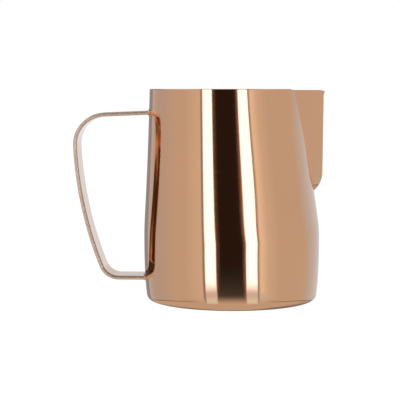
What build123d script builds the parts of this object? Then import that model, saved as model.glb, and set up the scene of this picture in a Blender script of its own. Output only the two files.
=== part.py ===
from build123d import *
import math
import os

# Milk frothing jug of about 600 ml: a drawn steel cup, a pouring spout welded into its front
# and a bent strap handle welded to its back.
# Millimetres, +Z up. The origin is the middle of the ring that the jug stands on.
# The spout points to +X and the handle to -X, so the jug is symmetric about the XZ plane.

# Sheet metal of cup and spout
WALL = 0.8
RIM_ROUND = 0.3

# Cup: circles stacked from the standing ring to the rim, widest at the belly.
# Above the belly the circles move towards the handle as they narrow.
RIM_HEIGHT = 108.0
RIM_RADIUS = 39.3
RIM_SHIFT = -2.7
BELLY_HEIGHT = 33.0
BELLY_RADIUS = 45.0
GROUND_RADIUS = 43.2
CORNER_RADIUS = 3.2
SHOULDER_HANDLE = (BELLY_RADIUS, 44.0)
SHOULDER_POINT = (42.3, 54.0)
SKIRT_HANDLE = (BELLY_RADIUS, 14.0)
SKIRT_POINT = (44.3, 6.0)
WALL_LEVELS = 9

# Base panel, pushed up inside the standing ring by a sloping step
BASE_PANEL_RADIUS = 36.0
BASE_PANEL_LIFT = 1.0
BASE_STEP_SLOPE = 45.0

# Spout: two flat panels that meet in a rounded ridge, with a foot that curves back into the cup
SPOUT_DROP = 0.5
RIDGE_TOP = 46.85
RIDGE_FOOT = 46.4
FOOT_HEIGHT = 65.5
FOOT_RADIUS = 12.0
FOOT_DEPTH = 10.5
PANEL_ANGLE_TOP = 51.0
PANEL_ANGLE_FOOT = 55.5
NOSE_RADIUS = 1.6
FOOT_NOSE_RADIUS = 9.0
LIP_FLARE = 0.5
LIP_PINCH = 0.9
LIP_HEIGHT = 2.0
SPOUT_BACK = 28.0
SPOUT_OVERRUN = 1.5
FOOT_LEVELS = 6
RIDGE_LEVELS = 5
LIP_LEVELS = 4

# Seam between cup and spout, seen from the front, just outside the crease
SEAM_TOP_HALF = 20.6
SEAM_FOOT_HALF = 7.5
SEAM_FOOT_HEIGHT = 53.5
SEAM_CORNER = 4.0

# Handle: one flat strip, bent at both ends, with a bowed grip. Radii are those of its outer face.
STRAP_WIDTH = 19.0
STRAP_THICKNESS = 2.0
STRAP_ROUND = 0.9
STRAP_TOP = 96.9
STRAP_TOP_AT = -44.0
STRAP_DROOP = 2.3
UPPER_RUN = 20.9
UPPER_BEND_RADIUS = 16.4
UPPER_BEND_ANGLE = 90.4
GRIP_RADIUS = 192.0
GRIP_ANGLE = 18.9
LOWER_BEND_RADIUS = 10.4
WELD_LEG = 0.9
INSIDE_CUP = 20.0


def bezier_point(points, t):
    """Point at t on the cubic Bezier curve of four (radius, height) points."""
    s = 1 - t
    weights = (s**3, 3 * s * s * t, 3 * s * t * t, t**3)
    return tuple(sum(w * p[i] for w, p in zip(weights, points)) for i in (0, 1))


BELLY = (BELLY_RADIUS, BELLY_HEIGHT)
SKIRT = (BELLY, SKIRT_HANDLE, SKIRT_POINT, (GROUND_RADIUS, 0.0))
SHOULDER = (BELLY, SHOULDER_HANDLE, SHOULDER_POINT, (RIM_RADIUS, RIM_HEIGHT))


def wall_levels():
    """(radius, height) of the outer wall at several levels, from the ground plane to the rim."""
    steps = [i / WALL_LEVELS for i in range(WALL_LEVELS + 1)]
    below = [bezier_point(SKIRT, t) for t in reversed(steps)]
    above = [bezier_point(SHOULDER, t) for t in steps[1:]]
    return below + above


def shift_at(radius, height):
    """How far the circle of that radius and height is moved along X."""
    if height <= BELLY_HEIGHT:
        return 0.0
    return RIM_SHIFT * (BELLY_RADIUS - radius) / (BELLY_RADIUS - RIM_RADIUS)


def back_wall(height):
    """X of the outer wall on the handle's side, at that height."""
    curve = SHOULDER if height > BELLY_HEIGHT else SKIRT
    near, far = 0.0, 1.0
    for _ in range(40):
        middle = (near + far) / 2
        beyond = abs(bezier_point(curve, middle)[1] - BELLY_HEIGHT) > abs(height - BELLY_HEIGHT)
        near, far = (near, middle) if beyond else (middle, far)
    radius = bezier_point(curve, near)[0]
    return shift_at(radius, height) - radius


def cup_solid(inset):
    """The cup's outside for inset 0, or the space inside it, taken past the rim, for inset WALL."""
    levels = wall_levels()
    if inset:
        levels = [(GROUND_RADIUS, inset)] + [level for level in levels if level[1] > inset]
        near_radius, near_height = levels[-2]
        levels.append((2 * RIM_RADIUS - near_radius, 2 * RIM_HEIGHT - near_height))
    circles = []
    for radius, height in levels:
        plane = Plane((shift_at(radius, height), 0, height), x_dir=(0, 1, 0), z_dir=(0, 0, 1))
        circles.append(plane * Circle(radius - inset))
    solid = loft(circles)
    return fillet(solid.edges().group_by(Axis.Z)[0], CORNER_RADIUS - inset)


def panel_step(inset):
    """What the base panel's lift takes from the solid base, or from the space inside."""
    low = BASE_PANEL_RADIUS + inset * math.tan(math.radians(BASE_STEP_SLOPE / 2))
    high = low - BASE_PANEL_LIFT / math.tan(math.radians(BASE_STEP_SLOPE))
    top = inset + BASE_PANEL_LIFT
    outline = Polyline((0, inset), (low, inset), (high, top), (0, top), close=True)
    return revolve(Plane.XZ * make_face(outline), Axis.Z)


def smooth_step(value):
    """0 below 0, 1 above 1, with level ends."""
    s = min(max(value, 0.0), 1.0)
    return s * s * (3 - 2 * s)


def spout_face(height, inset):
    """Level section of the spout: a V with a rounded nose, closed at its back inside the cup."""
    rise = (height - FOOT_HEIGHT) / (RIM_HEIGHT - FOOT_HEIGHT)
    ridge = RIDGE_FOOT + (RIDGE_TOP - RIDGE_FOOT) * max(rise, 0.0)
    lip = smooth_step((height - RIM_HEIGHT + SPOUT_DROP + LIP_HEIGHT) / LIP_HEIGHT)
    ridge += LIP_FLARE * lip
    below = max(FOOT_HEIGHT - height, 0.0)
    ridge -= FOOT_RADIUS - math.sqrt((FOOT_RADIUS - inset) ** 2 - below**2)
    blunt = (below / FOOT_DEPTH) ** 2
    nose = NOSE_RADIUS + (FOOT_NOSE_RADIUS - NOSE_RADIUS) * blunt - inset
    share = (RIM_HEIGHT - height) / (RIM_HEIGHT - FOOT_HEIGHT + FOOT_DEPTH)
    degrees = PANEL_ANGLE_TOP + (PANEL_ANGLE_FOOT - PANEL_ANGLE_TOP) * share - LIP_PINCH * lip
    angle = math.radians(degrees)
    touch_x = ridge - nose + nose * math.sin(angle)
    touch_y = nose * math.cos(angle)
    back_y = touch_y + (touch_x - SPOUT_BACK) * math.tan(angle)
    outline = Curve() + [
        Line((SPOUT_BACK, -back_y), (touch_x, -touch_y)),
        ThreePointArc((touch_x, -touch_y), (ridge, 0), (touch_x, touch_y)),
        Line((touch_x, touch_y), (SPOUT_BACK, back_y)),
        Line((SPOUT_BACK, back_y), (SPOUT_BACK, -back_y)),
    ]
    return Plane((0, 0, height)) * make_face(outline)


def spout_solid(inset):
    """The spout's outside for inset 0, or its channel for inset WALL."""
    lip_start = RIM_HEIGHT - SPOUT_DROP - LIP_HEIGHT
    ridge_height = lip_start - FOOT_HEIGHT
    heights = [FOOT_HEIGHT - FOOT_DEPTH * i / FOOT_LEVELS for i in range(FOOT_LEVELS, -1, -1)]
    heights += [FOOT_HEIGHT + ridge_height * i / RIDGE_LEVELS for i in range(1, RIDGE_LEVELS + 1)]
    heights += [lip_start + LIP_HEIGHT * i / LIP_LEVELS for i in range(1, LIP_LEVELS + 1)]
    heights.append(RIM_HEIGHT + SPOUT_OVERRUN)
    return loft([spout_face(height, inset) for height in heights])


def seam_bar():
    """Everything in front of the seam, as a bar along X."""
    slope = (SEAM_TOP_HALF - SEAM_FOOT_HALF) / (RIM_HEIGHT - SEAM_FOOT_HEIGHT)
    top = RIM_HEIGHT + 2 * SPOUT_OVERRUN
    top_half = SEAM_TOP_HALF + slope * 2 * SPOUT_OVERRUN
    corners = [
        (-top_half, top),
        (-SEAM_FOOT_HALF, SEAM_FOOT_HEIGHT),
        (SEAM_FOOT_HALF, SEAM_FOOT_HEIGHT),
        (top_half, top),
    ]
    face = make_face(Polyline(*corners, close=True))
    face = fillet(face.vertices().group_by(Axis.Y)[0], SEAM_CORNER)
    return extrude(Plane.YZ * face, 2 * RIDGE_TOP)


def below_level(height):
    """A block that holds everything under that height."""
    size = 4 * RIM_HEIGHT
    return Pos(0, 0, height - size / 2) * Box(size, size, size)


def round_top(solid):
    """Takes the sharpness off the rim's inner and outer edge."""
    top_face = solid.faces().sort_by(Axis.Z)[-1]
    rim_edges = [edge for edge in top_face.edges() if edge.length > 2 * WALL]
    return fillet(rim_edges, RIM_ROUND)


def cup_and_spout():
    """The sheet-metal jug, cut along the seam into cup and spout."""
    outside = cup_solid(0) + spout_solid(0)
    inside = (cup_solid(WALL) - panel_step(WALL)) + spout_solid(WALL)
    sheet = (outside - panel_step(0) - inside) & below_level(RIM_HEIGHT)
    front = seam_bar()
    cup = sheet - front
    beak = sheet & front & below_level(RIM_HEIGHT - SPOUT_DROP)
    return round_top(cup), round_top(beak)


def strap_line(depth):
    """The strip's course in the XZ plane, that far under its outer face, and its two ends."""
    droop = math.radians(STRAP_DROOP)
    along = Vector(-math.cos(droop), -math.sin(droop))
    under = Vector(math.sin(droop), -math.cos(droop))
    start = Vector(STRAP_TOP_AT, STRAP_TOP) + under * depth - along * INSIDE_CUP
    upper = Line(start, start + along * (UPPER_RUN + INSIDE_CUP))
    upper_bend = JernArc(upper @ 1, upper % 1, UPPER_BEND_RADIUS - depth, UPPER_BEND_ANGLE)
    grip = JernArc(upper_bend @ 1, upper_bend % 1, GRIP_RADIUS - depth, GRIP_ANGLE)
    rest = 180 - STRAP_DROOP - UPPER_BEND_ANGLE - GRIP_ANGLE
    lower_bend = JernArc(grip @ 1, grip % 1, LOWER_BEND_RADIUS - depth, rest)
    turn_end = lower_bend @ 1
    lower = Line(turn_end, (STRAP_TOP_AT + INSIDE_CUP, turn_end.Y))
    return [upper, upper_bend, grip, lower_bend, lower], start, lower @ 1


def strap_bar():
    """The bent strip, with both ends still reaching into the cup."""
    outer, outer_start, outer_end = strap_line(0)
    inner, inner_start, inner_end = strap_line(STRAP_THICKNESS)
    ends = [Line(outer_start, inner_start), Line(outer_end, inner_end)]
    face = make_face(Curve() + outer + inner + ends)
    bar = extrude(Plane.XZ * face, STRAP_WIDTH / 2, both=True)
    sides = bar.faces().sort_by(Axis.Y)
    return fillet(sides[0].edges() + sides[-1].edges(), STRAP_ROUND)


def joint_edges(welded, height):
    """Edges where the strip's end meets the wall, near that height."""
    wall = back_wall(height) - WELD_LEG
    near = []
    for edge in welded.edges():
        middle = edge.center()
        level = abs(middle.Z - height) < 2 * STRAP_THICKNESS
        if level and abs(middle.Y) <= STRAP_WIDTH / 2 and edge.bounding_box().min.X > wall:
            near.append(edge)
    return near


def handle_and_welds():
    """The strip, cut to the cup's wall, and the flat-faced weld round each of its ends."""
    cup = cup_solid(0)
    bar = strap_bar()
    joined = cup + bar
    upper_height = STRAP_TOP - STRAP_THICKNESS / 2
    lower_height = bar.bounding_box().min.Z + STRAP_THICKNESS / 2
    edges = joint_edges(joined, upper_height) + joint_edges(joined, lower_height)
    lower, upper = (chamfer(edges, WELD_LEG) - joined).solids().sort_by(Axis.Z)
    return bar - cup, upper, lower


if __name__ == "__main__":
    os.makedirs("parts", exist_ok=True)
    body_shell, spout = cup_and_spout()
    handle_strap, handle_weld_upper, handle_weld_lower = handle_and_welds()
    nodes = {
        "body_shell": body_shell,
        "spout": spout,
        "handle_strap": handle_strap,
        "handle_weld_upper": handle_weld_upper,
        "handle_weld_lower": handle_weld_lower,
    }
    for name, solid in nodes.items():
        export_step(solid, f"parts/{name}.step")
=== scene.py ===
import math

import bpy
import numpy as np
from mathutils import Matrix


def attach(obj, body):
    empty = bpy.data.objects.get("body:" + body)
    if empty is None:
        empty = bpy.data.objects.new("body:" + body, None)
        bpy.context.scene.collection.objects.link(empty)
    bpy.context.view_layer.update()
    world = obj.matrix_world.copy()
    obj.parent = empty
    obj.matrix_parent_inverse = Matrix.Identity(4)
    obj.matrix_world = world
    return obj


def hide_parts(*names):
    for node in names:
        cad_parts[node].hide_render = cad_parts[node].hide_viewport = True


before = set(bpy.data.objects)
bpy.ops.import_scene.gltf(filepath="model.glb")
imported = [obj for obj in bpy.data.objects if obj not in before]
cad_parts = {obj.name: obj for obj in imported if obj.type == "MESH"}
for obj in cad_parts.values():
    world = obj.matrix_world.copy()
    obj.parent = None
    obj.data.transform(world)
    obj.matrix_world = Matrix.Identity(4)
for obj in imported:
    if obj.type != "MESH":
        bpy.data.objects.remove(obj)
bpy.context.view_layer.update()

# Milk frothing jug in mirror-polished rose-gold steel: cup, spout, strap handle and its two welds.
# Sizes are in millimetres, angles in degrees and meshes in metres. The spout points to +X, the handle to -X.
MM = 0.001

# Sheet metal of cup and spout
WALL = 0.8
RIM_ROUND = 0.3

# Cup: radius and height of the points that shape its wall, and the corner to its base
RIM_HEIGHT = 108.0
RIM_RADIUS = 39.3
RIM_SHIFT = -2.7
BELLY_HEIGHT = 33.0
BELLY_RADIUS = 45.0
GROUND_RADIUS = 43.2
CORNER_RADIUS = 3.2
SHOULDER = ((BELLY_RADIUS, BELLY_HEIGHT), (BELLY_RADIUS, 44.0), (42.3, 54.0), (RIM_RADIUS, RIM_HEIGHT))
SKIRT = ((BELLY_RADIUS, BELLY_HEIGHT), (BELLY_RADIUS, 14.0), (44.3, 6.0), (GROUND_RADIUS, 0.0))

# Base panel, pushed up inside the standing ring
BASE_RING_MARGIN = 0.5
BASE_PANEL_RADIUS = 36.0
BASE_PANEL_LIFT = 1.0
BASE_STEP_SLOPE = 45.0
BASE_STEP_BEND = 0.7
BASE_MIDDLE = 1.5

# Spout: two flat panels, a rounded ridge, a foot that curves back into the cup and a pinched lip
SPOUT_DROP = 0.5
STEP_LENGTH = 2.5
RIDGE_TOP = 46.85
RIDGE_FOOT = 46.4
FOOT_HEIGHT = 65.5
FOOT_RADIUS = 12.0
FOOT_DEPTH = 10.5
PANEL_ANGLE_TOP = 51.0
PANEL_ANGLE_FOOT = 55.5
NOSE_RADIUS = 1.6
FOOT_NOSE_RADIUS = 9.0
LIP_FLARE = 0.5
LIP_PINCH = 0.9
LIP_HEIGHT = 2.0
LIP_DROP = 0.6
LIP_HALF_WIDTH = 3.2
CREASE_BLEND_TOP = 0.08
CREASE_BLEND_FOOT = 0.2

# Pressed edge of the spout's foot: a small step off the cup's wall that fades upwards and towards the ridge
PRESSED_EDGE = 0.35
PRESSED_EDGE_RUN = 0.12
PRESSED_EDGE_LEVELS = (56.0, 82.0)
PRESSED_EDGE_ANGLES = (0.0, 10.0)

# Slight swell of the cup's wall beside the spout, between two angles from the ridge; it starts at the first
# level, is largest at the second and ends at the third
SWELL = 0.67
SWELL_ANGLES = (84.0, 7.0)
SWELL_LEVELS = (24.0, 57.0, 110.0)

# Seam between cup and spout, seen from the front
SEAM_TOP_HALF = 20.6
SEAM_FOOT_HALF = 7.5
SEAM_FOOT_HEIGHT = 53.5

# Handle: one flat strip; radii are those of its outer face
STRAP_WIDTH = 19.0
STRAP_THICKNESS = 2.0
STRAP_ROUND = 0.99
STRAP_TOP = 96.9
STRAP_TOP_AT = -44.0
STRAP_DROOP = 2.3
UPPER_RUN = 20.9
UPPER_BEND_RADIUS = 16.4
UPPER_BEND_ANGLE = 90.4
GRIP_RADIUS = 192.0
GRIP_ANGLE = 18.9
LOWER_BEND_RADIUS = 10.4
LOWER_BEND_ANGLE = 180.0 - STRAP_DROOP - UPPER_BEND_ANGLE - GRIP_ANGLE
WELD_LEG = 0.9
WELD_SAG = 0.12
BITE = 0.05

# Fineness of the meshes: counts of points, steps or rounds, the step that slopes are taken over,
# and the angle from which an edge is sharp
CUP_STEPS = 180
OUTER_LOWER_POINTS = 34
INNER_LOWER_POINTS = 26
CORNER_POINTS = 12
BEND_POINTS = 7
PANEL_POINTS = 14
STRAP_EDGE_STEPS = 13
STRAP_FLAT_STEPS = 16
RUN_POINTS = 6
UPPER_BEND_POINTS = 40
GRIP_POINTS = 48
LOWER_BEND_POINTS = 36
WELD_RINGS = 7
HALVINGS = 40
WALL_ROUNDS = 8
SLOPE_STEP = 0.001
SHARP_ANGLE = 50.0

# Where one finish ends and the next begins, in rows of the cup's mesh, and the order of its materials
POLISHED_BASE_ROWS = CORNER_POINTS + 2
POLISHED_ROWS_INSIDE = 2
POLISHED, SATIN, UNDERSIDE, CUP_FLOOR = range(4)
STRAP_POLISHED, STRAP_TUMBLED_SHEEN, STRAP_BRUSHED = range(3)

# Colours of the coated steel, and how its tone and gloss change from place to place
ROSE_GOLD = (0.92, 0.525, 0.305)
INSIDE_GOLD = (0.93, 0.6, 0.4)
# The strip's rounded edges get a paler gold: painted sheen that brightens their reflections
EDGE_SHEEN_GOLD = (1.0, 0.73, 0.54)
WELD_TONE = 0.93
TONE_CHANGE = 0.03
CLOUD_SCALE = 28.0
CLOUD_DETAIL = 4.0
LINE_DETAIL = 3.0
LINE_RANGE = (0.3, 0.7)

# Camera: level with the rim, swung a little towards the spout
CAMERA_SWING = 3.0
CAMERA_DISTANCE = 717.0
CAMERA_ASIDE = -16.3
CAMERA_TILT = 4.535
IMAGE_SIDE = 400
PIXEL_AT_JUG = 0.5123
SENSOR = 36.0

# Studio: colours of its light
PLAIN = (1.0, 1.0, 1.0)
COOL = (0.93, 1.0, 1.15)
COLD = (0.87, 1.0, 1.14)
COLDER = (0.85, 1.0, 1.22)
WARM = (1.45, 0.95, 0.8)
SOFTBOX = (0.62, 0.77, 1.0)
SOFTBOX_LEVEL = 3.05

# Panels that stand round the jug: name, from and to as angles from the camera's side, brightness, colour
PANELS = (
    ("back wall, left", -175, -175, 0.84, COLD),
    ("gap, left", -169, -146, 0.33, COOL),
    ("far edge, left", -141, -141, 0.60, COOL),
    ("far side, left", -128, -112, 0.53, COOL),
    ("near side, left", -78, -66, 0.575, PLAIN),
    ("lit edge, left", -41, -41, 0.68, PLAIN),
    ("slot, left", -39.3, -37.2, 0.22, PLAIN),
    ("softbox, left", -36.3, -23.5, SOFTBOX_LEVEL, SOFTBOX),
    ("shade, left", -22.8, -20.5, 0.07, WARM),
    ("camera's dark side", -17.0, 10.5, 0.015, WARM),
    ("shade, right", 12.6, 14.9, 0.13, WARM),
    ("softbox, right", 15.6, 28.2, SOFTBOX_LEVEL, SOFTBOX),
    ("slot, right", 29.0, 30.2, 0.22, PLAIN),
    ("spill, right", 32.8, 32.8, 0.88, PLAIN),
    ("end of spill, right", 43, 43, 0.66, PLAIN),
    ("near side, right", 60, 106, 0.572, PLAIN),
    ("far side, right", 117, 117, 0.64, COLDER),
    ("bright side, right", 136, 136, 0.71, COLDER),
    ("bright edge, right", 156, 156, 0.74, COLD),
    ("back wall, right", 165, 165, 0.87, COLD),
)
BRIGHTEST = 4.0

# Lean of the panels, as radians for each unit of the elevation's sine: its mean, its change with the angle,
# and the sine at which they stay in place
LEAN = 0.147
LEAN_ASIDE = 0.112
LEAN_LEVEL = 0.1

# Lower ends of the softboxes, a glow low down, and the softboxes' light on the table, under panels of that
# brightness; here and below, a pair of angles is where a soft change starts and ends, as elevations or,
# for back, sides and the table's edge, as angles from the camera's side
SOFTBOX_FOOT = (-17.5, -11.5)
SOFTBOX_FOOT_COLOUR = (0.67, 0.72, 0.86)
GLOW_LEVEL = 0.066
GLOW_FROM = (-22.0, -4.0)
POOL_COLOUR = (0.75, 0.93, 1.07)
POOL_AT = (-29.0, -21.0, -18.0)
POOL_UNDER = (0.9, 1.6)

# Back wall, and the pale table with its dark far edge and a soft shadow behind the jug
BACK_WALL_FROM = (163.0, 167.0)
BACK_WALL_FALL = 0.8
TABLE_LEVEL = 0.57
TABLE_FROM = (-24.0, -18.0)
TABLE_EDGE = (-23.2, -21.5, -19.8)
TABLE_EDGE_SHADE = (0.45, 0.3, 0.22)
TABLE_EDGE_FROM = (40.0, 75.0)
SHADOW_LEVEL = 0.22
SHADOW_AT = (165.0, -56.0)
SHADOW_SPREAD = (48.0, 12.0)
SHADOW_NEAR = (-75.0, -60.0)

# Dark ceiling, which comes down lower in the back corners, with lights at both sides and straight above
CEILING_LEVEL = 0.06
CEILING_FROM = (13.0, 17.0)
BACK_CORNERS = (102.0, 120.0, 160.0, 168.0)
BACK_CORNERS_FROM = (6.0, 8.0)
SIDE_LIGHT_LEVEL = 1.1
SIDE_LIGHTS = (40.0, 52.0, 128.0, 140.0)
SIDE_LIGHTS_FROM = (20.0, 28.0, 58.0, 66.0)
TOP_LIGHT_LEVEL = 0.5
TOP_LIGHT_FROM = (64.0, 70.0)

# Spotlight into the cup
INSIDE_LIGHT_HEIGHT = 600.0
INSIDE_LIGHT_RADIUS = 5.0
INSIDE_LIGHT_BEAM = 32.0
INSIDE_LIGHT_BLEND = 0.5
INSIDE_LIGHT_POWER = 3.0

# Floor
FLOOR_SIZE = 12000.0
FLOOR_DROP = 0.1
FLOOR_TONE = 0.16
FLOOR_GLOW = 0.965


# Shape of the wall


def bezier(points, share):
    """Radius and height on the cubic Bezier curve of four points."""
    rest = 1 - share
    weights = (rest**3, 3 * rest**2 * share, 3 * rest * share**2, share**3)
    return tuple(sum(w * p[i] for w, p in zip(weights, points)) for i in (0, 1))


def bisect(function, low, high):
    """Where a function that rises with its argument crosses zero, for a whole array at once."""
    for _ in range(HALVINGS):
        middle = (low + high) / 2
        above = function(middle) > 0
        low = np.where(above, low, middle)
        high = np.where(above, middle, high)
    return (low + high) / 2


def wall_radius(height):
    """Radius of the cup's outer wall at those heights."""
    upper = height > BELLY_HEIGHT
    start, end = np.zeros_like(height), np.ones_like(height)
    up = bisect(lambda t: bezier(SHOULDER, t)[1] - height, start, end)
    down = bisect(lambda t: height - bezier(SKIRT, t)[1], start, end)
    return np.where(upper, bezier(SHOULDER, up)[0], bezier(SKIRT, down)[0])


def wall_shift(radius, height):
    """How far the wall's circle is moved along X, above the belly."""
    share = (BELLY_RADIUS - radius) / (BELLY_RADIUS - RIM_RADIUS)
    return np.where(height > BELLY_HEIGHT, RIM_SHIFT * share, 0.0)


def smooth_step(value):
    """0 below 0, 1 above 1, with level ends."""
    s = np.clip(value, 0.0, 1.0)
    return s * s * (3 - 2 * s)


def rim_level(angle):
    """Height of the rim in that direction: lower on the spout, and lowest at the lip's tip."""
    off_tip = np.clip(angle * RIDGE_TOP / LIP_HALF_WIDTH, -1, 1)
    seam = math.asin(SEAM_TOP_HALF / RIM_RADIUS)
    past_seam = (np.abs(angle) - seam) * RIM_RADIUS / STEP_LENGTH
    step = SPOUT_DROP * smooth_step(past_seam)
    return RIM_HEIGHT - SPOUT_DROP + step - LIP_DROP * (1 - off_tip**2) ** 2


def spout_reach(angle, height, shift, inset):
    """Distance from the wall's axis to the spout, in that direction; small where there is no spout."""
    rise = (height - FOOT_HEIGHT) / (RIM_HEIGHT - FOOT_HEIGHT)
    lip = smooth_step((height - rim_level(angle) + LIP_HEIGHT) / LIP_HEIGHT)
    below = np.clip(FOOT_HEIGHT - height, 0.0, FOOT_DEPTH)
    ridge = RIDGE_FOOT + (RIDGE_TOP - RIDGE_FOOT) * np.maximum(rise, 0.0) + LIP_FLARE * lip
    ridge = ridge - FOOT_RADIUS + np.sqrt((FOOT_RADIUS - inset) ** 2 - below**2)
    nose = NOSE_RADIUS + (FOOT_NOSE_RADIUS - NOSE_RADIUS) * (below / FOOT_DEPTH) ** 2 - inset
    share = (RIM_HEIGHT - height) / (RIM_HEIGHT - FOOT_HEIGHT + FOOT_DEPTH)
    half = np.radians(PANEL_ANGLE_TOP + (PANEL_ANGLE_FOOT - PANEL_ANGLE_TOP) * share - LIP_PINCH * lip)
    middle = ridge - nose - shift
    turn = np.abs(angle)
    panel = (middle * np.sin(half) + nose) / np.sin(np.minimum(half + turn, math.pi / 2))
    side = middle * np.sin(np.minimum(turn, math.pi / 2))
    rounded = middle * np.cos(turn) + np.sqrt(np.maximum(nose**2 - side**2, 0.0))
    touch = np.arctan2(nose * np.cos(half), middle + nose * np.sin(half))
    return np.where(turn < touch, rounded, panel)


def wall_swell(angle, height):
    """How far the cup's wall swells out beside the spout."""
    start, end = np.radians(SWELL_ANGLES)
    across = np.clip((start - np.abs(angle)) / (start - end), 0, 1)
    low, middle, high = SWELL_LEVELS
    up = smooth_step((height - low) / (middle - low)) * smooth_step((high - height) / (high - middle))
    return SWELL * up * np.sin(math.pi * across) ** 2


def pressed_edge(angle, height, stand):
    """How much further out the spout's foot is than its panels.
    stand is how far the panels stand off the cup's wall."""
    low, high = PRESSED_EDGE_LEVELS
    near, far = np.radians(PRESSED_EDGE_ANGLES)
    fade = smooth_step((high - height) / (high - low)) * smooth_step((np.abs(angle) - near) / (far - near))
    return PRESSED_EDGE * fade * smooth_step(stand / PRESSED_EDGE_RUN)


def wall_reach(angle, height, inset):
    """Distance from the wall's axis to cup or spout, and the axis's X.
    The larger of the two counts, with a cubic blend as a soft crease where they are nearly equal."""
    outer = wall_radius(height)
    shift = wall_shift(outer, height)
    round_wall = outer - inset + wall_swell(angle, height)
    spout = spout_reach(angle, height, shift, inset)
    if not inset:
        spout = spout + pressed_edge(angle, height, spout - round_wall)
    foot = smooth_step((FOOT_HEIGHT - height) / FOOT_DEPTH)
    blend = CREASE_BLEND_TOP + (CREASE_BLEND_FOOT - CREASE_BLEND_TOP) * foot
    near = np.maximum(blend - np.abs(round_wall - spout), 0.0) / blend
    return np.maximum(round_wall, spout) + near**3 * blend / 6, shift


def wall_point(angle, height, inset):
    """Points of the wall's outer face for inset 0, or of its inner face for inset WALL."""
    reach, shift = wall_reach(angle, height, inset)
    return np.stack([shift + reach * np.cos(angle), reach * np.sin(angle), height], -1)


def wall_normal(angle, height, inset):
    """Unit normals of the wall there, pointing away from the metal."""
    across = wall_point(angle + SLOPE_STEP, height, inset) - wall_point(angle - SLOPE_STEP, height, inset)
    along = wall_point(angle, height + SLOPE_STEP, inset) - wall_point(angle, height - SLOPE_STEP, inset)
    normal = np.cross(across, along)
    normal /= np.linalg.norm(normal, axis=-1, keepdims=True)
    return -normal if inset else normal


def seam_angle(height, inset):
    """Direction of the seam, seen from the wall's axis, at those heights."""
    slope = (SEAM_TOP_HALF - SEAM_FOOT_HALF) / (RIM_HEIGHT - SEAM_FOOT_HEIGHT)
    half = SEAM_FOOT_HALF + slope * np.maximum(height - SEAM_FOOT_HEIGHT, 0.0)
    outer = wall_radius(height) - inset
    return np.arcsin(half / outer)


# Mesh of cup and spout: one grid of rows along the sheet and columns round the jug


def spread(*stops):
    """Numbers from stop to stop; each stop is its value and the count of steps up to the next one."""
    runs = [np.linspace(a[0], b[0], a[1], endpoint=False) for a, b in zip(stops, stops[1:])]
    return np.concatenate(runs + [np.array([stops[-1][0]])])


# Columns over half the spout, as shares of the way from ridge to seam, and heights of the rows beside
# the seam; both are closest together where the sheet bends most
SPOUT_HALF_COLUMNS = spread((0.0, 12), (0.08, 30), (0.72, 44), (1.0, 0))
SPOUT_COLUMNS = np.concatenate([-SPOUT_HALF_COLUMNS[:0:-1], SPOUT_HALF_COLUMNS])
CUP_COLUMNS = np.linspace(0.0, 1.0, CUP_STEPS + 1)[1:-1]
WALL_TOP = RIM_HEIGHT - RIM_ROUND
SEAM_ROWS = spread((SEAM_FOOT_HEIGHT, 10), (55.2, 26), (59.0, 36), (68.0, 30), (105.0, 16), (WALL_TOP, 0))
STRETCHED_FROM = 100.0
RIM_TURNS = (15, 30, 45, 60, 75, 90)


def column_angles(height, inset):
    """Angle of each column at each row's height: seam to seam across the spout, then round the cup."""
    seam = seam_angle(height, inset)
    count = len(SPOUT_COLUMNS)
    over_spout = SPOUT_COLUMNS * seam[:, :count]
    round_cup = seam[:, count:] + CUP_COLUMNS * (2 * math.pi - 2 * seam[:, count:])
    return np.concatenate([over_spout, round_cup], 1)


def turned(angle):
    """The same angles, from -pi to pi."""
    return (angle + math.pi) % (2 * math.pi) - math.pi


def wall_rows(levels, inset):
    """Points and normals of the wall at those levels; near the rim the rows follow the rim's height."""
    height = np.repeat(levels[:, None], len(SPOUT_COLUMNS) + len(CUP_COLUMNS), 1)
    rim = rim_level(turned(column_angles(np.full_like(height[:1], RIM_HEIGHT), 0)))
    share = np.clip((height - STRETCHED_FROM) / (RIM_HEIGHT - STRETCHED_FROM), 0, 1)
    height = height + (rim - RIM_HEIGHT) * share
    angle = turned(column_angles(height, inset))
    return wall_point(angle, height, inset), wall_normal(angle, height, inset)


def rim_rows(edge, normal):
    """Quarter round from the end of one face of the wall up to the middle of the rim."""
    level = normal * (1, 1, 0)
    level /= np.linalg.norm(level, axis=-1, keepdims=True)
    up = np.array((0.0, 0.0, 1.0))
    turns = np.radians(RIM_TURNS)[:, None, None]
    points = edge - RIM_ROUND * (1 - np.cos(turns)) * level + RIM_ROUND * np.sin(turns) * up
    return points, np.cos(turns) * level + np.sin(turns) * up


def rounded_path(corners, bend):
    """Radius and height along a path whose inner corners are bent with that radius."""
    corners = [np.array(c, float) for c in corners]
    path = [corners[0]]
    for before, corner, after in zip(corners, corners[1:], corners[2:]):
        back = (before - corner) / np.linalg.norm(before - corner)
        on = (after - corner) / np.linalg.norm(after - corner)
        half = math.acos(np.clip(back @ on, -1, 1)) / 2
        middle = corner + (back + on) / np.linalg.norm(back + on) * bend / math.sin(half)
        first = corner + back * bend / math.tan(half) - middle
        last = corner + on * bend / math.tan(half) - middle
        for share in np.linspace(0, 1, BEND_POINTS):
            arm = first * (1 - share) + last * share
            path.append(middle + arm / np.linalg.norm(arm) * bend)
    return np.array(path + [corners[-1]])


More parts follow.
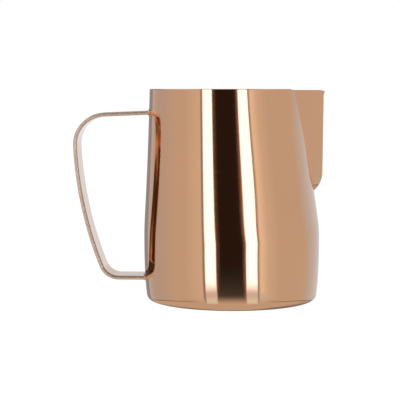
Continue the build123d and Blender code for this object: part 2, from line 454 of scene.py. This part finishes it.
def base_path(inset):
    """Radius and height along the corner, the standing ring and the raised panel, from the wall inwards."""
    lean = math.atan2(SKIRT[2][0] - GROUND_RADIUS, SKIRT[2][1])
    middle = GROUND_RADIUS + CORNER_RADIUS * (math.tan(lean) - 1 / math.cos(lean))
    turns = np.linspace(-lean, -math.pi / 2, CORNER_POINTS)
    bend = CORNER_RADIUS - inset
    corner = np.stack([middle + bend * np.cos(turns), CORNER_RADIUS + bend * np.sin(turns)], 1)
    step = BASE_PANEL_RADIUS + inset * math.tan(math.radians(BASE_STEP_SLOPE) / 2)
    ring, top = middle - BASE_RING_MARGIN, inset + BASE_PANEL_LIFT
    corners = ((ring, inset), (step, inset), (step - BASE_PANEL_LIFT, top), (BASE_MIDDLE, top))
    flat = rounded_path(corners, BASE_STEP_BEND)
    panel = np.linspace(flat[-2], flat[-1], PANEL_POINTS)[1:]
    return np.concatenate([corner, flat[:-1], panel])


def base_rows(inset):
    """Points and normals of the base, row by row from the wall inwards."""
    path = base_path(inset)
    side = np.gradient(path, axis=0)
    facing = np.stack([-side[:, 1], side[:, 0]], 1)
    facing /= np.linalg.norm(facing, axis=1, keepdims=True) * (-1 if inset else 1)
    low = np.full((1, len(SPOUT_COLUMNS) + len(CUP_COLUMNS)), path[0, 1])
    angle = column_angles(low, inset)[0]
    round_about = np.stack([np.cos(angle), np.sin(angle), np.zeros_like(angle)], 1)
    up = np.array((0.0, 0.0, 1.0))
    points = path[:, :1, None] * round_about + path[:, 1:, None] * up
    normals = facing[:, :1, None] * round_about + facing[:, 1:, None] * up
    return points, normals


def shell_grid():
    """Points and normals of the whole sheet, from the middle of the base's underside, up the outside,
    over the rim and down the inside to the middle of the cup's floor; and the numbers of key rows."""
    outer_base, outer_base_normal = base_rows(0)
    inner_base, inner_base_normal = base_rows(WALL)
    lower = np.linspace(outer_base[0, 0, 2], SEAM_FOOT_HEIGHT, OUTER_LOWER_POINTS)[1:-1]
    inner_lower = np.linspace(inner_base[0, 0, 2], SEAM_FOOT_HEIGHT, INNER_LOWER_POINTS)[1:-1]
    outside, outside_normal = wall_rows(np.concatenate([lower, SEAM_ROWS]), 0)
    inside, inside_normal = wall_rows(np.concatenate([inner_lower, SEAM_ROWS]), WALL)
    outer_rim, outer_rim_normal = rim_rows(outside[-1], outside_normal[-1])
    inner_rim, inner_rim_normal = rim_rows(inside[-1], inside_normal[-1])
    points = [outer_base[::-1], outside, outer_rim, inner_rim[::-1], inside[::-1], inner_base]
    normals = [
        outer_base_normal[::-1],
        outside_normal,
        outer_rim_normal,
        inner_rim_normal[::-1],
        inside_normal[::-1],
        inner_base_normal,
    ]
    first = len(outer_base) + len(lower)
    last = first + 2 * (len(SEAM_ROWS) + len(RIM_TURNS)) - 1
    rows = {"base": len(outer_base), "seam_first": first, "seam_last": last, "rim": (first + last) // 2}
    return np.concatenate(points), np.concatenate(normals), rows


def block_faces(rows, columns, count):
    """Quads of the grid between those rows and columns, and each quad's row; columns past the last one
    wrap round."""
    row, column = np.meshgrid(np.arange(*rows), np.arange(*columns), indexing="ij")
    row, column = row.ravel(), column.ravel()
    here, after = column % count, (column + 1) % count
    near, far = row * count, (row + 1) * count
    return np.stack([near + here, near + after, far + after, far + here], 1), row


def seam_faces(rows, count):
    """Quads across the sheet's thickness along the seam, facing towards the spout."""
    first, last = rows["seam_first"], rows["seam_last"]
    step = np.arange((last - first + 1) // 2 - 1)
    outer, inner = (first + step) * count, (last - step) * count
    outer_up, inner_up = outer + count, inner - count
    left = np.stack([outer, inner, inner_up, outer_up], 1)
    right = left[:, ::-1] + len(SPOUT_COLUMNS) - 1
    along = np.arange(len(SPOUT_COLUMNS) - 1)
    outer, inner = first * count + along, last * count + along
    foot = np.stack([outer, outer + 1, inner + 1, inner], 1)
    return np.concatenate([left, right, foot])


def middle_fan(points, count):
    """A middle point and the triangles round it, for both ends of the grid."""
    ring = np.arange(count)
    under = np.stack([(ring + 1) % count, ring, np.full(count, len(points))], 1)
    last = (len(points) // count - 1) * count
    floor = np.stack([last + ring, last + (ring + 1) % count, np.full(count, len(points) + 1)], 1)
    middles = np.array([(0, 0, points[0, 2]), (0, 0, points[last, 2])])
    return middles, under, floor


def mesh_piece(name, points, faces, normals, materials, kinds):
    """A Blender object from faces, given as lists of rows of point numbers, with the normals at its points.
    kinds gives each list's material numbers."""
    used = np.unique(np.concatenate([f.ravel() for f in faces]))
    place = np.zeros(len(points), int)
    place[used] = np.arange(len(used))
    mesh = bpy.data.meshes.new(name)
    all_faces = [row for f in faces for row in place[f].tolist()]
    mesh.from_pydata((points[used] * MM).tolist(), [], all_faces)
    for material in materials:
        mesh.materials.append(material)
    mesh.polygons.foreach_set("material_index", np.concatenate(kinds).astype(np.int32))
    mesh.polygons.foreach_set("use_smooth", np.ones(len(all_faces), bool))
    if normals is None:
        mesh.set_sharp_from_angle(angle=math.radians(SHARP_ANGLE))
    else:
        mesh.normals_split_custom_set_from_vertices(normals[used].tolist())
    mesh.update()
    piece = bpy.data.objects.new(name, mesh)
    bpy.context.scene.collection.objects.link(piece)
    return piece


def cup_and_spout(polished, satin, base_under, base_inside):
    """The cup and the spout, cut from one grid along the seam, so that their faces meet without a mark."""
    grid, grid_normals, rows = shell_grid()
    count = grid.shape[1]
    spout_cells = len(SPOUT_COLUMNS) - 1
    points, normals = grid.reshape(-1, 3), grid_normals.reshape(-1, 3)
    middles, under, floor = middle_fan(points, count)
    points = np.concatenate([points, middles])
    normals = np.concatenate([normals, [(0, 0, -1), (0, 0, 1)]])
    ends = seam_faces(rows, count)
    seam_rows = (rows["seam_first"], rows["seam_last"])
    bottom, bottom_row = block_faces((0, rows["seam_first"]), (0, count), count)
    sides, sides_row = block_faces(seam_rows, (spout_cells, count), count)
    inside, inside_row = block_faces((rows["seam_last"], len(grid) - 1), (0, count), count)
    front, front_row = block_faces(seam_rows, (0, spout_cells), count)
    base_end = rows["base"] - POLISHED_BASE_ROWS

    def finish_of(row):
        """Number of the material of the quads in those rows."""
        row_from_end = len(grid) - 2 - row
        within = np.where(row_from_end < base_end, CUP_FLOOR, SATIN)
        without = np.where(row < base_end, UNDERSIDE, POLISHED)
        return np.where(row > rows["rim"] + POLISHED_ROWS_INSIDE, within, without)

    faces = [bottom, sides, inside, ends, under, floor]
    kinds = [finish_of(bottom_row), finish_of(sides_row), finish_of(inside_row)]
    kinds += [np.full(len(f), k) for f, k in ((ends, POLISHED), (under, UNDERSIDE), (floor, CUP_FLOOR))]
    cup = mesh_piece("cup", points, faces, normals, (polished, satin, base_under, base_inside), kinds)
    kinds = [finish_of(front_row), np.full(len(ends), POLISHED)]
    beak = mesh_piece("pouring_spout", points, [front, ends[:, ::-1]], normals, (polished, satin), kinds)
    return cup, beak


# Handle


def strap_course():
    """Points of the strip's outer face in the XZ plane, from the cup's upper joint to its lower one,
    and the direction of travel at each, as an angle."""
    spot = np.array((STRAP_TOP_AT, STRAP_TOP))
    heading = math.pi + math.radians(STRAP_DROOP)
    spots, headings = [], []

    def straight(length):
        """Goes on by that length."""
        nonlocal spot
        ahead = np.array((math.cos(heading), math.sin(heading)))
        for share in np.linspace(0, 1, RUN_POINTS):
            spots.append(spot + ahead * length * share)
            headings.append(heading)
        spot = spots.pop()
        headings.pop()

    def bend(radius, degrees, count):
        """Goes on round an arc."""
        nonlocal spot, heading
        middle = spot + radius * np.array((-math.sin(heading), math.cos(heading)))
        for share in np.linspace(0, 1, count):
            now = heading + math.radians(degrees) * share
            spots.append(middle + radius * np.array((math.sin(now), -math.cos(now))))
            headings.append(now)
        spot, heading = spots.pop(), headings.pop()

    straight(UPPER_RUN)
    bend(UPPER_BEND_RADIUS, UPPER_BEND_ANGLE, UPPER_BEND_POINTS)
    bend(GRIP_RADIUS, GRIP_ANGLE, GRIP_POINTS)
    bend(LOWER_BEND_RADIUS, LOWER_BEND_ANGLE, LOWER_BEND_POINTS)
    straight(STRAP_TOP_AT - spot[0])
    spots.append(spot)
    headings.append(heading)
    return np.array(spots), np.array(headings)


def strap_section():
    """Outline of the strip across its width: (Y, depth under the outer face) and its outward direction."""
    half, deep, bend = STRAP_WIDTH / 2 - STRAP_ROUND, STRAP_THICKNESS - STRAP_ROUND, STRAP_ROUND
    corners = ((half, bend, -90), (half, deep, 0), (-half, deep, 90), (-half, bend, 180))
    outline, outward = [], []
    for y, depth, start in corners:
        for turn in np.radians(np.linspace(start, start + 90, STRAP_EDGE_STEPS)):
            facing = np.array((math.cos(turn), math.sin(turn)))
            outline.append(np.array((y, depth)) + bend * facing)
            outward.append(facing)
        if start in (0, 180):
            corner = outline[-1]
            for share in np.linspace(1, -1, STRAP_FLAT_STEPS + 1)[1:-1]:
                outline.append(corner * (share, 1))
                outward.append(facing)
    return np.array(outline), np.array(outward)


def strap_points(spot, heading, section):
    """The section's points, set up at one place of the course."""
    inward = np.array((-math.sin(heading), math.cos(heading)))
    flat = spot + section[:, 1:] * inward
    return np.stack([flat[:, 0], section[:, 0], flat[:, 1]], 1)


def away_from_cup(heading, end):
    """Direction in which the strip leaves the cup: end 0 is its upper end and end -1 its lower one."""
    ahead = np.array((math.cos(heading), 0.0, math.sin(heading)))
    return ahead if end == 0 else -ahead


def to_wall(points, heading):
    """Moves points along the strip's end until they lie on the cup's wall."""
    ahead = np.array((math.cos(heading), 0.0, math.sin(heading)))
    points = points.copy()
    for _ in range(WALL_ROUNDS):
        radius = wall_radius(points[:, 2])
        wall = wall_shift(radius, points[:, 2]) - np.sqrt(radius**2 - points[:, 1] ** 2)
        points += ((wall - points[:, 0]) / ahead[0])[:, None] * ahead
    return points


def tube_faces(rings, count, closed):
    """Quads between rings of points; closed joins the last ring to the first."""
    ring, spot = np.meshgrid(np.arange(rings if closed else rings - 1), np.arange(count), indexing="ij")
    ring, spot = ring.ravel(), spot.ravel()
    on, after = (ring + 1) % rings, (spot + 1) % count
    return np.stack([ring * count + spot, ring * count + after, on * count + after, on * count + spot], 1)


def cap_faces(ring, count):
    """Quads across the end of the strip, in the order of the points round it."""
    step = np.arange(count // 2 - 1)
    edge = STRAP_EDGE_STEPS - 1
    quads = np.stack([edge - 1 - step, edge - step, edge + 1 + step, edge + 2 + step], 1)
    return ring * count + quads % count


def strap_handle(polished, tumbled, brushed):
    """The bent strip, with both ends cut to the cup's wall; its rounded edges are tumbled, with a paler gold
    as painted sheen, and its inner face is brushed."""
    spots, headings = strap_course()
    section, outward = strap_section()
    rings = [strap_points(s, h, section) for s, h in zip(spots, headings)]
    facing = [strap_points(np.zeros(2), h, outward) for h in headings]
    for end in (0, -1):
        rings[end] = to_wall(rings[end], headings[end]) - BITE * away_from_cup(headings[end], end)
    count = len(section)
    points, normals = np.concatenate(rings), np.concatenate(facing)
    sides = tube_faces(len(rings), count, False)
    caps = np.concatenate([cap_faces(0, count)[:, ::-1], cap_faces(len(rings) - 1, count)])
    spot = np.arange(len(sides)) % count
    on_edge = spot % (count // 2) < 2 * STRAP_EDGE_STEPS - 1
    on_flat = np.where(spot < count // 2, STRAP_BRUSHED, STRAP_POLISHED)
    kinds = [np.where(on_edge, STRAP_TUMBLED_SHEEN, on_flat), np.full(len(caps), STRAP_POLISHED)]
    return mesh_piece("strap", points, [sides, caps], normals, (polished, tumbled, brushed), kinds)


def weld_bead(name, end, metal):
    """The weld round one end of the strip."""
    spots, headings = strap_course()
    spot, heading = spots[end], headings[end]
    section, outward = strap_section()
    away = away_from_cup(heading, end)
    rings = []
    for share in np.linspace(0, 1, WELD_RINGS):
        sag = WELD_SAG * 4 * share * (1 - share)
        reach = WELD_LEG * share - sag
        foot = to_wall(strap_points(spot, heading, section + outward * reach), heading)
        rings.append(foot + away * (WELD_LEG * (1 - share) - sag))
    rings.append(to_wall(strap_points(spot, heading, section - outward * BITE), heading))
    faces = tube_faces(len(rings), len(section), True)
    if end == 0:
        faces = faces[:, ::-1]
    return mesh_piece(name, np.concatenate(rings), [faces], None, (metal,), [np.zeros(len(faces))])


# Materials


def add_node(tree, kind, inputs=None, **settings):
    """A node with its settings, and its inputs set or linked."""
    made = tree.nodes.new(kind)
    for key, value in settings.items():
        setattr(made, key, value)
    for key, value in (inputs or {}).items():
        if isinstance(value, bpy.types.NodeSocket):
            tree.links.new(value, made.inputs[key])
        else:
            made.inputs[key].default_value = value
    return made


def lines_along(tree, place, stretch):
    """Where the polishing lines are looked up: the place, stretched along X, Y and Z."""
    return add_node(tree, "ShaderNodeMapping", {"Vector": place, "Scale": stretch}).outputs[0]


def lines_round(tree, place, stretch):
    """The same for lines in rings about the jug's axis."""
    level = add_node(tree, "ShaderNodeVectorMath", {0: place, 1: (1, 1, 0)}, operation="MULTIPLY").outputs[0]
    radius = add_node(tree, "ShaderNodeVectorMath", {0: level}, operation="LENGTH").outputs["Value"]
    rings = add_node(tree, "ShaderNodeCombineXYZ", {"Z": radius}).outputs[0]
    both = add_node(tree, "ShaderNodeVectorMath", {0: level, 1: rings}, operation="ADD").outputs[0]
    return lines_along(tree, both, stretch)


def metal_material(name, colour, roughness, stretch, grain, depth, lines_at=lines_along):
    """Coated steel: its tone, gloss and fine polishing lines change a little from place to place.
    roughness is its lowest and highest value, stretch scales the lines along X, Y and Z, grain is how many
    there are, and depth is how deep."""
    material = bpy.data.materials.new(name)
    material.use_nodes = True
    tree = material.node_tree
    shader = tree.nodes["Principled BSDF"]
    shader.inputs["Metallic"].default_value = 1.0
    place = add_node(tree, "ShaderNodeTexCoord").outputs["Object"]
    cloud_inputs = {"Vector": place, "Scale": CLOUD_SCALE, "Detail": CLOUD_DETAIL}
    clouds = add_node(tree, "ShaderNodeTexNoise", cloud_inputs).outputs["Fac"]
    line_inputs = {"Vector": lines_at(tree, place, stretch), "Scale": grain, "Detail": LINE_DETAIL}
    lines = add_node(tree, "ShaderNodeTexNoise", line_inputs).outputs["Fac"]
    tone = add_node(tree, "ShaderNodeValToRGB", {"Fac": clouds})
    tone.color_ramp.elements[0].color = (*(c * (1 - TONE_CHANGE) for c in colour), 1)
    tone.color_ramp.elements[1].color = (*(min(c * (1 + TONE_CHANGE), 1) for c in colour), 1)
    gloss = add_node(tree, "ShaderNodeMapRange", {"Value": lines})
    gloss.inputs["From Min"].default_value, gloss.inputs["From Max"].default_value = LINE_RANGE
    gloss.inputs["To Min"].default_value, gloss.inputs["To Max"].default_value = roughness
    bump = add_node(tree, "ShaderNodeBump", {"Height": lines, "Distance": depth * MM, "Strength": 1.0})
    tree.links.new(tone.outputs["Color"], shader.inputs["Base Color"])
    tree.links.new(gloss.outputs["Result"], shader.inputs["Roughness"])
    tree.links.new(bump.outputs["Normal"], shader.inputs["Normal"])
    return material


def polished_metal():
    """Mirror finish of the outside."""
    finish = dict(roughness=(0.05, 0.08), stretch=(1, 1, 6), grain=160.0, depth=0.0004)
    return metal_material("polished_rose_gold", ROSE_GOLD, **finish)


def satin_metal():
    """Finely brushed inside of the wall, with lines round the cup."""
    finish = dict(roughness=(0.26, 0.36), stretch=(0.6, 0.6, 40), grain=60.0, depth=0.003)
    return metal_material("satin_rose_gold", INSIDE_GOLD, **finish)


def spun_metal(name, colour):
    """Spun finish of the base, with rings about the jug's axis."""
    finish = dict(roughness=(0.4, 0.52), stretch=(0.3, 0.3, 40), grain=60.0, depth=0.003)
    return metal_material(name, colour, **finish, lines_at=lines_round)


def tumbled_sheen_metal():
    """Soft finish of the strip's rounded edges, in a paler gold that is painted sheen: it makes their
    reflections look pale and bright.
    """
    finish = dict(roughness=(0.42, 0.5), stretch=(1, 1, 1), grain=1500.0, depth=0.0003)
    return metal_material("tumbled_edge_painted_sheen", EDGE_SHEEN_GOLD, **finish)


def brushed_metal():
    """Lightly brushed inner face of the strip, where a polishing wheel doesn't reach."""
    finish = dict(roughness=(0.1, 0.14), stretch=(6, 1, 1), grain=400.0, depth=0.001)
    return metal_material("brushed_rose_gold", ROSE_GOLD, **finish)


def weld_metal():
    """Ground and coated weld, a little duller than the rest."""
    colour = tuple(c * WELD_TONE for c in ROSE_GOLD)
    finish = dict(roughness=(0.14, 0.3), stretch=(1, 1, 1), grain=700.0, depth=0.02)
    return metal_material("coated_weld", colour, **finish)


# Studio

# Places of a Mix node's sockets for colours
MIX_FACTOR, MIX_FIRST, MIX_SECOND, MIX_RESULT = 0, 6, 7, 2


class Surroundings:
    """What stands round the jug: nodes that work from the direction in which a ray leaves it."""

    def __init__(self, tree):
        self.tree = tree
        self.direction = add_node(tree, "ShaderNodeTexCoord").outputs["Generated"]
        self.height = self.along((0, 0, 1))
        towards_camera = self.along(self.pointer(0.0, 0.0))
        aside = self.along(self.pointer(90.0, 0.0))
        self.angle = self.maths("ARCTAN2", aside, towards_camera)

    @staticmethod
    def pointer(angle, elevation):
        """Unit vector at that angle from the camera's side and at that elevation."""
        turn, raised = math.radians(CAMERA_SWING + angle), math.radians(elevation)
        return math.cos(raised) * math.sin(turn), -math.cos(raised) * math.cos(turn), math.sin(raised)

    def along(self, vector):
        """Share of the ray's direction along a vector."""
        inputs = {0: self.direction, 1: vector}
        return add_node(self.tree, "ShaderNodeVectorMath", inputs, operation="DOT_PRODUCT").outputs["Value"]

    def maths(self, operation, *values):
        """Result of one operation on numbers."""
        inputs = dict(enumerate(values))
        return add_node(self.tree, "ShaderNodeMath", inputs, operation=operation).outputs[0]

    def mix(self, operation, first, second, factor=1.0):
        """Two colours mixed; a single number stands for a grey."""
        inputs = {MIX_FACTOR: factor}
        for key, value in ((MIX_FIRST, first), (MIX_SECOND, second)):
            if isinstance(value, float):
                value = (value, value, value)
            inputs[key] = (*value, 1) if isinstance(value, tuple) else value
        settings = {"data_type": "RGBA", "blend_type": operation, "clamp_factor": True}
        return add_node(self.tree, "ShaderNodeMix", inputs, **settings).outputs[MIX_RESULT]

    def soft_step(self, low, high, value):
        """0 below the lower limit, 1 above the upper one, with level ends."""
        inputs = {"Value": value, "From Min": low, "From Max": high}
        ramp = add_node(self.tree, "ShaderNodeMapRange", inputs, interpolation_type="SMOOTHSTEP")
        return ramp.outputs["Result"]

    def above(self, limits):
        """Soft step from one elevation to the next."""
        return self.soft_step(*(math.sin(math.radians(x)) for x in limits), self.height)

    def beyond(self, limits):
        """Soft step from one angle to the next, on both sides of the camera."""
        return self.soft_step(*(math.radians(x) for x in limits), self.maths("ABSOLUTE", self.angle))

    def near(self, place, limits):
        """Soft step from one distance to the next, as angles from a place."""
        return self.soft_step(*(math.cos(math.radians(x)) for x in limits), self.along(self.pointer(*place)))

    def band(self, step, limits):
        """A soft step up at the first two limits and down again at the last two."""
        return self.maths("SUBTRACT", step(limits[:2]), step(limits[-2:]))


def panel_ring(around):
    """Colour of the panels, which lean a little, from a colour ramp over the angle."""
    lean = around.maths("MULTIPLY_ADD", around.angle, LEAN_ASIDE, LEAN)
    raised = around.maths("SUBTRACT", around.height, LEAN_LEVEL)
    leaning = around.maths("MULTIPLY_ADD", raised, lean, around.angle)
    inputs = {"Value": leaning, "From Min": -math.pi, "From Max": math.pi}
    turn = add_node(around.tree, "ShaderNodeMapRange", inputs)
    ring = add_node(around.tree, "ShaderNodeValToRGB", {"Fac": turn.outputs["Result"]})
    stops = ring.color_ramp.elements
    stops.remove(stops[1])
    for _name, start, end, level, colour in PANELS:
        for degrees in sorted({start, end}):
            stop = stops.new((degrees + 180) / 360)
            stop.color = (*(c * level / BRIGHTEST for c in colour), 1)
    stops.remove(stops[0])
    return around.mix("MULTIPLY", ring.outputs["Color"], BRIGHTEST)


def walls(around, panels):
    """The panels with the softboxes' lower ends, the glow low down and the back wall's fall in brightness."""
    full = tuple(c * SOFTBOX_LEVEL for c in SOFTBOX)
    limit = around.mix("MIX", SOFTBOX_FOOT_COLOUR, full, around.above(SOFTBOX_FOOT))
    panels = around.mix("DARKEN", panels, limit)
    glow = around.mix("MIX", GLOW_LEVEL, 0.0, around.above(GLOW_FROM))
    panels = around.mix("LIGHTEN", panels, glow)
    fall = around.maths("MULTIPLY_ADD", around.height, -BACK_WALL_FALL, 1.0)
    return around.mix("MULTIPLY", panels, fall, around.beyond(BACK_WALL_FROM))


def walls_and_table(around):
    """Walls over the pale table, with its dark far edge, the softboxes' light and the soft shadow on it."""
    panels = panel_ring(around)
    level = around.mix("MIX", TABLE_LEVEL, walls(around, panels), around.above(TABLE_FROM))
    edge = around.maths("MULTIPLY", around.band(around.above, TABLE_EDGE), around.beyond(TABLE_EDGE_FROM))
    level = around.mix("MULTIPLY", level, TABLE_EDGE_SHADE, edge)
    under_softboxes = around.soft_step(*POOL_UNDER, panels)
    pool = around.maths("MULTIPLY", around.band(around.above, POOL_AT), under_softboxes)
    level = around.mix("MIX", level, POOL_COLOUR, pool)
    shadow = around.maths("MULTIPLY", around.near(SHADOW_AT, SHADOW_SPREAD), around.above(SHADOW_NEAR))
    return around.mix("MIX", level, SHADOW_LEVEL, shadow)


def with_ceiling(around, level):
    """The dark ceiling and its lights, over what is lower down."""
    level = around.mix("MIX", level, CEILING_LEVEL, around.above(CEILING_FROM))
    corners = around.band(around.beyond, BACK_CORNERS)
    corners = around.maths("MULTIPLY", corners, around.above(BACK_CORNERS_FROM))
    level = around.mix("MIX", level, CEILING_LEVEL, corners)
    sides = around.band(around.beyond, SIDE_LIGHTS)
    sides = around.maths("MULTIPLY", sides, around.band(around.above, SIDE_LIGHTS_FROM))
    level = around.mix("MIX", level, SIDE_LIGHT_LEVEL, sides)
    return around.mix("MIX", level, TOP_LIGHT_LEVEL, around.above(TOP_LIGHT_FROM))


def studio_world():
    """Soft studio light from all round, which the jug mirrors. The camera itself sees plain white."""
    world = bpy.data.worlds.new("studio")
    bpy.context.scene.world = world
    world.use_nodes = True
    tree = world.node_tree
    around = Surroundings(tree)
    level = with_ceiling(around, walls_and_table(around))
    light = add_node(tree, "ShaderNodeBackground", {"Color": level, "Strength": 1.0})
    plain = add_node(tree, "ShaderNodeBackground", {"Color": (*PLAIN, 1), "Strength": 1.0})
    seen = add_node(tree, "ShaderNodeLightPath").outputs["Is Camera Ray"]
    both = add_node(tree, "ShaderNodeMixShader", {0: seen, 1: light.outputs[0], 2: plain.outputs[0]})
    tree.links.new(both.outputs[0], tree.nodes["World Output"].inputs["Surface"])


def inside_light():
    """A spotlight high over the jug that shines into the cup and on nothing else."""
    data = bpy.data.lights.new("inside_light", "SPOT")
    data.energy = INSIDE_LIGHT_POWER
    data.shadow_soft_size = INSIDE_LIGHT_RADIUS * MM
    data.spot_size = 2 * math.atan2(INSIDE_LIGHT_BEAM, INSIDE_LIGHT_HEIGHT - RIM_HEIGHT)
    data.spot_blend = INSIDE_LIGHT_BLEND
    lamp = bpy.data.objects.new("inside_light", data)
    lamp.location = (RIM_SHIFT * MM, 0, INSIDE_LIGHT_HEIGHT * MM)
    bpy.context.scene.collection.objects.link(lamp)


def pale_floor():
    """A plain white floor with the faintest shade where the jug stands; the jug doesn't mirror it."""
    bpy.ops.mesh.primitive_plane_add(size=FLOOR_SIZE * MM, location=(0, 0, -FLOOR_DROP * MM))
    floor = bpy.context.object
    floor.name = "floor"
    material = bpy.data.materials.new("white_floor")
    material.use_nodes = True
    shader = material.node_tree.nodes["Principled BSDF"]
    shader.inputs["Base Color"].default_value = (FLOOR_TONE, FLOOR_TONE, FLOOR_TONE, 1)
    shader.inputs["Roughness"].default_value = 1.0
    shader.inputs["Specular IOR Level"].default_value = 0.0
    shader.inputs["Emission Color"].default_value = (*PLAIN, 1)
    shader.inputs["Emission Strength"].default_value = FLOOR_GLOW
    floor.data.materials.append(material)
    floor.visible_glossy = False


def camera():
    """The photograph's camera: level with the rim and tilted down a little."""
    swing, tilt = math.radians(CAMERA_SWING), math.radians(CAMERA_TILT)
    data = bpy.data.cameras.new("camera")
    data.sensor_width = SENSOR
    data.lens = CAMERA_DISTANCE / PIXEL_AT_JUG / IMAGE_SIDE * SENSOR
    made = bpy.data.objects.new("camera", data)
    x = CAMERA_ASIDE * math.cos(swing) + CAMERA_DISTANCE * math.sin(swing)
    y = CAMERA_ASIDE * math.sin(swing) - CAMERA_DISTANCE * math.cos(swing)
    made.location = (x * MM, y * MM, RIM_HEIGHT * MM)
    made.rotation_euler = (math.pi / 2 - tilt, 0, swing)
    bpy.context.scene.collection.objects.link(made)
    bpy.context.scene.camera = made


def build():
    """All pieces of the jug, each standing for its solid."""
    polished, satin, weld = polished_metal(), satin_metal(), weld_metal()
    base_inside = spun_metal("spun_floor", INSIDE_GOLD)
    base_under = spun_metal("spun_underside", ROSE_GOLD)
    cup, beak = cup_and_spout(polished, satin, base_under, base_inside)
    pieces = (
        (cup, "body_shell", "polished_shell"),
        (beak, "spout", "polished_shell"),
        (strap_handle(polished, tumbled_sheen_metal(), brushed_metal()), "handle_strap", "polished_strip"),
        (weld_bead("upper_weld", 0, weld), "handle_weld_upper", "weld_metal"),
        (weld_bead("lower_weld", -1, weld), "handle_weld_lower", "weld_metal"),
    )
    for piece, node, slot in pieces:
        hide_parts(node)
        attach(piece, "root")


build()
pale_floor()
studio_world()
inside_light()
camera()
bpy.context.scene.view_settings.view_transform = "Standard"
